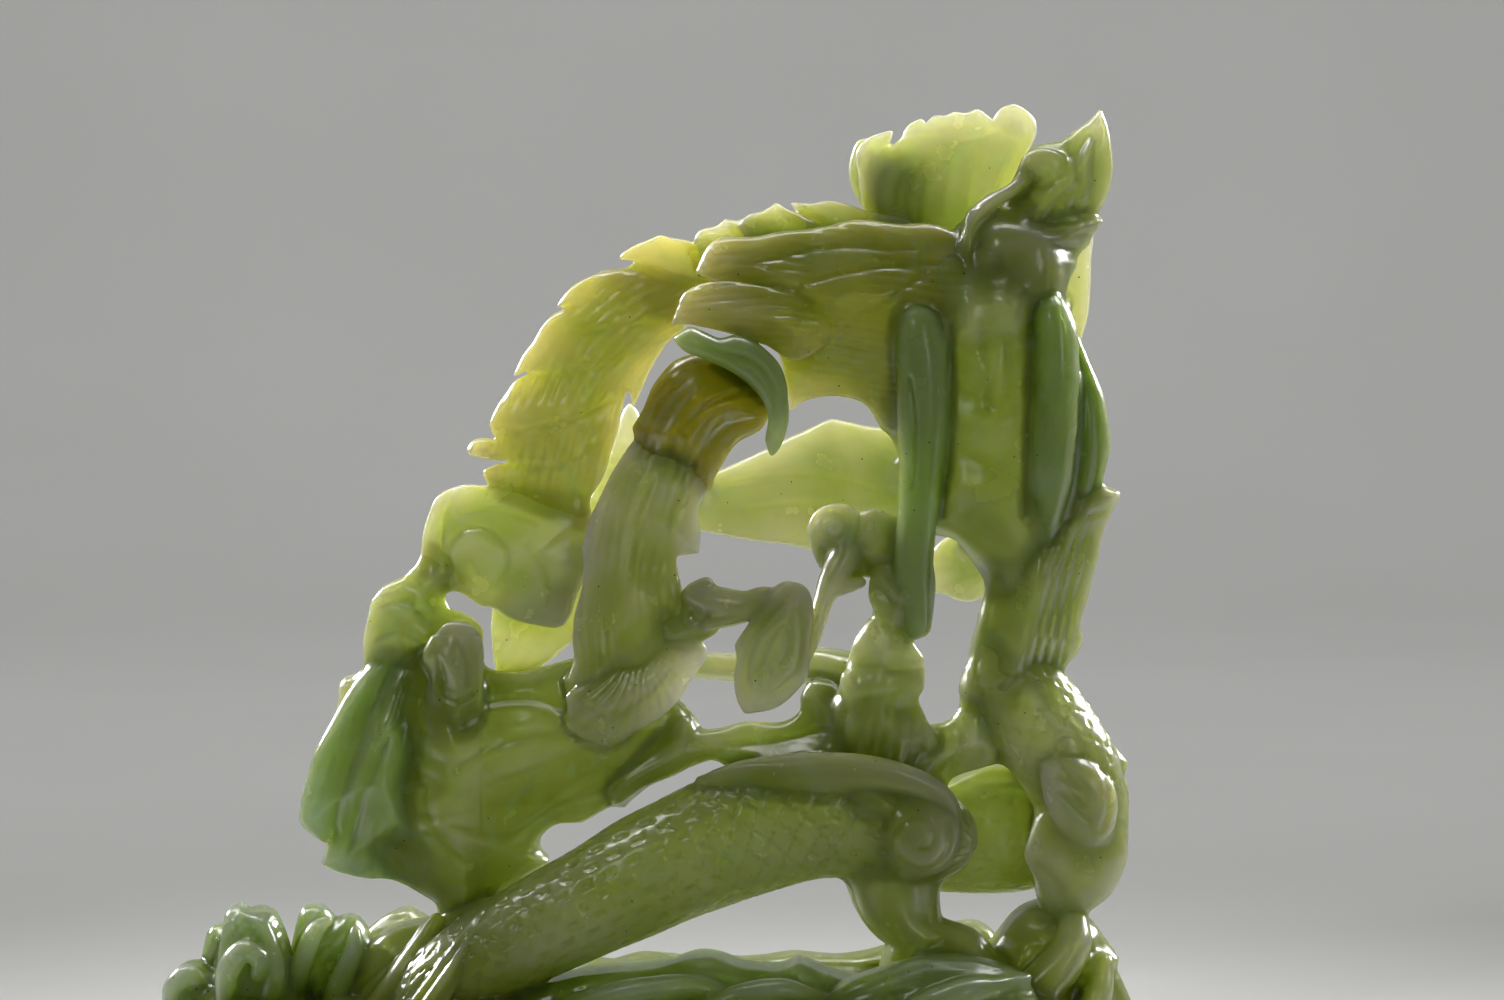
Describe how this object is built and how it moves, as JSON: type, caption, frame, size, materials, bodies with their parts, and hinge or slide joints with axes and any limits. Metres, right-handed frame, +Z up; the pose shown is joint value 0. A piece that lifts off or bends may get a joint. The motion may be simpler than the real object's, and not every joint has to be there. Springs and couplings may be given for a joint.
{
  "type": "jade dragon figurine",
  "caption": "Free-standing openwork carving of a dragon coiled among clouds and waves, cut from translucent green jade, resting on a flat underside.",
  "frame": {"origin": "centre of the bounding box in x and y, on the flat underside", "axes": "+Z up, +X towards the end where the dragon's snout points, -Y towards the viewer of the front"},
  "size_m": [0.195, 0.074, 0.194],
  "materials": {
    "jade_deep": "waxy polish, thick translucent olive green",
    "jade_mid": "waxy polish, translucent mid green",
    "jade_pale": "waxy polish, thin translucent pale yellow green",
    "jade_base": "waxy polish, translucent leaf green"
  },
  "bodies": {
    "root": {"arch_mass": "jade_deep", "back_blade": "jade_pale", "back_plate": "jade_pale", "bar_left": "jade_deep", "bar_right": "jade_deep", "base_block": "jade_base", "beard_tuft": "jade_deep", "body_ridge": "jade_deep", "cheek": "jade_deep", "claw_finger": "jade_mid", "cloud_branch": "jade_mid", "cloud_knob": "jade_mid", "cloud_left": "jade_pale", "cloud_link": "jade_mid", "cloud_scroll": "jade_mid", "cloud_small": "jade_mid", "coil_body": "jade_deep", "coil_fin": "jade_pale", "crest_plate": "jade_pale", "crest_rear_lobe": "jade_pale", "ear": "jade_mid", "feather_mane": "jade_mid", "hook_curl": "jade_pale", "leaf_drop": "jade_mid", "leg_pillar": "jade_deep", "lower_jaw": "jade_deep", "mane_tuft_fourth": "jade_pale", "mane_tuft_near_crest": "jade_pale", "mane_tuft_second": "jade_pale", "mane_tuft_third": "jade_pale", "membrane": "jade_pale", "neck_column": "jade_deep", "neck_mass": "jade_deep", "oval_leaf": "jade_mid", "rear_body": "jade_deep", "rear_bridge": "jade_pale", "rear_cloud": "jade_pale", "ribbed_fan": "jade_mid", "ribbon_twist": "jade_mid", "rock_mass": "jade_deep", "scaled_body": "jade_deep", "scroll_boss": "jade_deep", "shell_lobe": "jade_pale", "shell_rock": "jade_deep", "snout": "jade_mid", "wave_back": "jade_base", "wave_band": "jade_pale", "wave_far_left": "jade_base", "wave_front_ridge": "jade_base", "wave_left_inner": "jade_base", "wave_left_rim": "jade_base", "wave_left_tall": "jade_base", "wave_middle": "jade_base", "wave_right": "jade_base", "wave_strand_foot": "jade_base", "wave_under_shell": "jade_base"}
  },
  "joints": []
}
